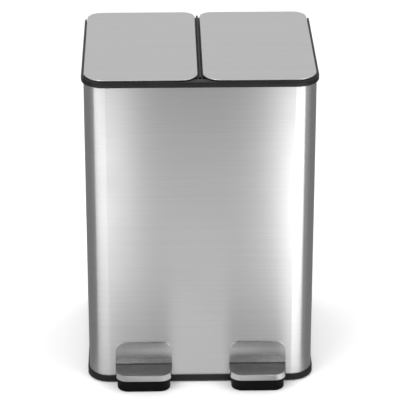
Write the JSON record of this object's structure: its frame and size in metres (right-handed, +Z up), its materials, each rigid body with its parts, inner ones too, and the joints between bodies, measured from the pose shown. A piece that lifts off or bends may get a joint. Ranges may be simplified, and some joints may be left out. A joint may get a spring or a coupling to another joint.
{
  "type": "double recycling bin",
  "caption": "Upright steel bin with two compartments side by side, each with a lid that its own pedal lifts and a bucket inside.",
  "frame": {"origin": "on the floor at the centre of the whole footprint, pedals included", "axes": "+X to the right seen from the front, +Y from the pedals to the back, +Z up"},
  "size_m": [0.432, 0.409, 0.617],
  "materials": {
    "brushed_steel": "brushed across",
    "lid_steel": "fine satin",
    "pedal_steel": "fine brushed",
    "plain_steel": "plain",
    "black_plastic": "fine moulded",
    "bucket_plastic": "fine moulded",
    "nylon": "plain",
    "rubber": "matte"
  },
  "bodies": {
    "bin_body": {"outer_shell": "brushed_steel", "seam_strip": "plain_steel", "top_collar": "black_plastic", "hinge_pins": "plain_steel", "base_tray": "black_plastic", "rubber_feet": "rubber", "pedal_axle": "plain_steel", "axle_caps": "black_plastic", "axle_cap_screws": "plain_steel", "axle_clips": "plain_steel", "stabiliser_screws": "plain_steel", "bucket_left": "bucket_plastic", "stabiliser_foot_left": "black_plastic", "rod_guide_left": "black_plastic", "bucket_right": "bucket_plastic", "stabiliser_foot_right": "black_plastic", "rod_guide_right": "black_plastic"},
    "lid_left": {"lid_panel_left": "lid_steel", "lid_frame_left": "black_plastic", "lid_bumpers_left": "rubber"},
    "pedal_left": {"pedal_cover_left": "pedal_steel", "pedal_bracket_left": "black_plastic", "pedal_arm_left": "plain_steel", "pedal_bushes_left": "nylon", "pedal_rivets_left": "plain_steel"},
    "rod_left": {"push_rod_left": "plain_steel", "rod_foot_left": "nylon", "rod_tip_left": "nylon"},
    "lid_right": {"lid_panel_right": "lid_steel", "lid_frame_right": "black_plastic", "lid_bumpers_right": "rubber"},
    "pedal_right": {"pedal_cover_right": "pedal_steel", "pedal_bracket_right": "black_plastic", "pedal_arm_right": "plain_steel", "pedal_bushes_right": "nylon", "pedal_rivets_right": "plain_steel"},
    "rod_right": {"push_rod_right": "plain_steel", "rod_foot_right": "nylon", "rod_tip_right": "nylon"}
  },
  "joints": [
    {"name": "lid_hinge_left", "type": "hinge", "parent": "bin_body", "child": "lid_left", "pos_m": [0, 0.191, 0.609], "axis": [-1, 0, 0], "range_deg": [0, 78]},
    {"name": "rod_slide_left", "type": "slide", "parent": "bin_body", "child": "rod_left", "axis": [0, 0, 1], "range_m": [0, 0.02266]},
    {"name": "pedal_pivot_left", "type": "hinge", "parent": "bin_body", "child": "pedal_left", "pos_m": [0, -0.0725, 0.026], "axis": [1, 0, 0], "range_deg": [0, 5.25]},
    {"name": "lid_hinge_right", "type": "hinge", "parent": "bin_body", "child": "lid_right", "pos_m": [0, 0.191, 0.609], "axis": [-1, 0, 0], "range_deg": [0, 78]},
    {"name": "rod_slide_right", "type": "slide", "parent": "bin_body", "child": "rod_right", "axis": [0, 0, 1], "range_m": [0, 0.02266]},
    {"name": "pedal_pivot_right", "type": "hinge", "parent": "bin_body", "child": "pedal_right", "pos_m": [0, -0.0725, 0.026], "axis": [1, 0, 0], "range_deg": [0, 5.25]}
  ],
  "couplings": [
    {"joint": "rod_slide_left", "follows": "lid_hinge_left", "m_per_rad": 0.016642},
    {"joint": "pedal_pivot_left", "follows": "lid_hinge_left", "ratio": 0.067332},
    {"joint": "rod_slide_right", "follows": "lid_hinge_right", "m_per_rad": 0.016642},
    {"joint": "pedal_pivot_right", "follows": "lid_hinge_right", "ratio": 0.067332}
  ]
}
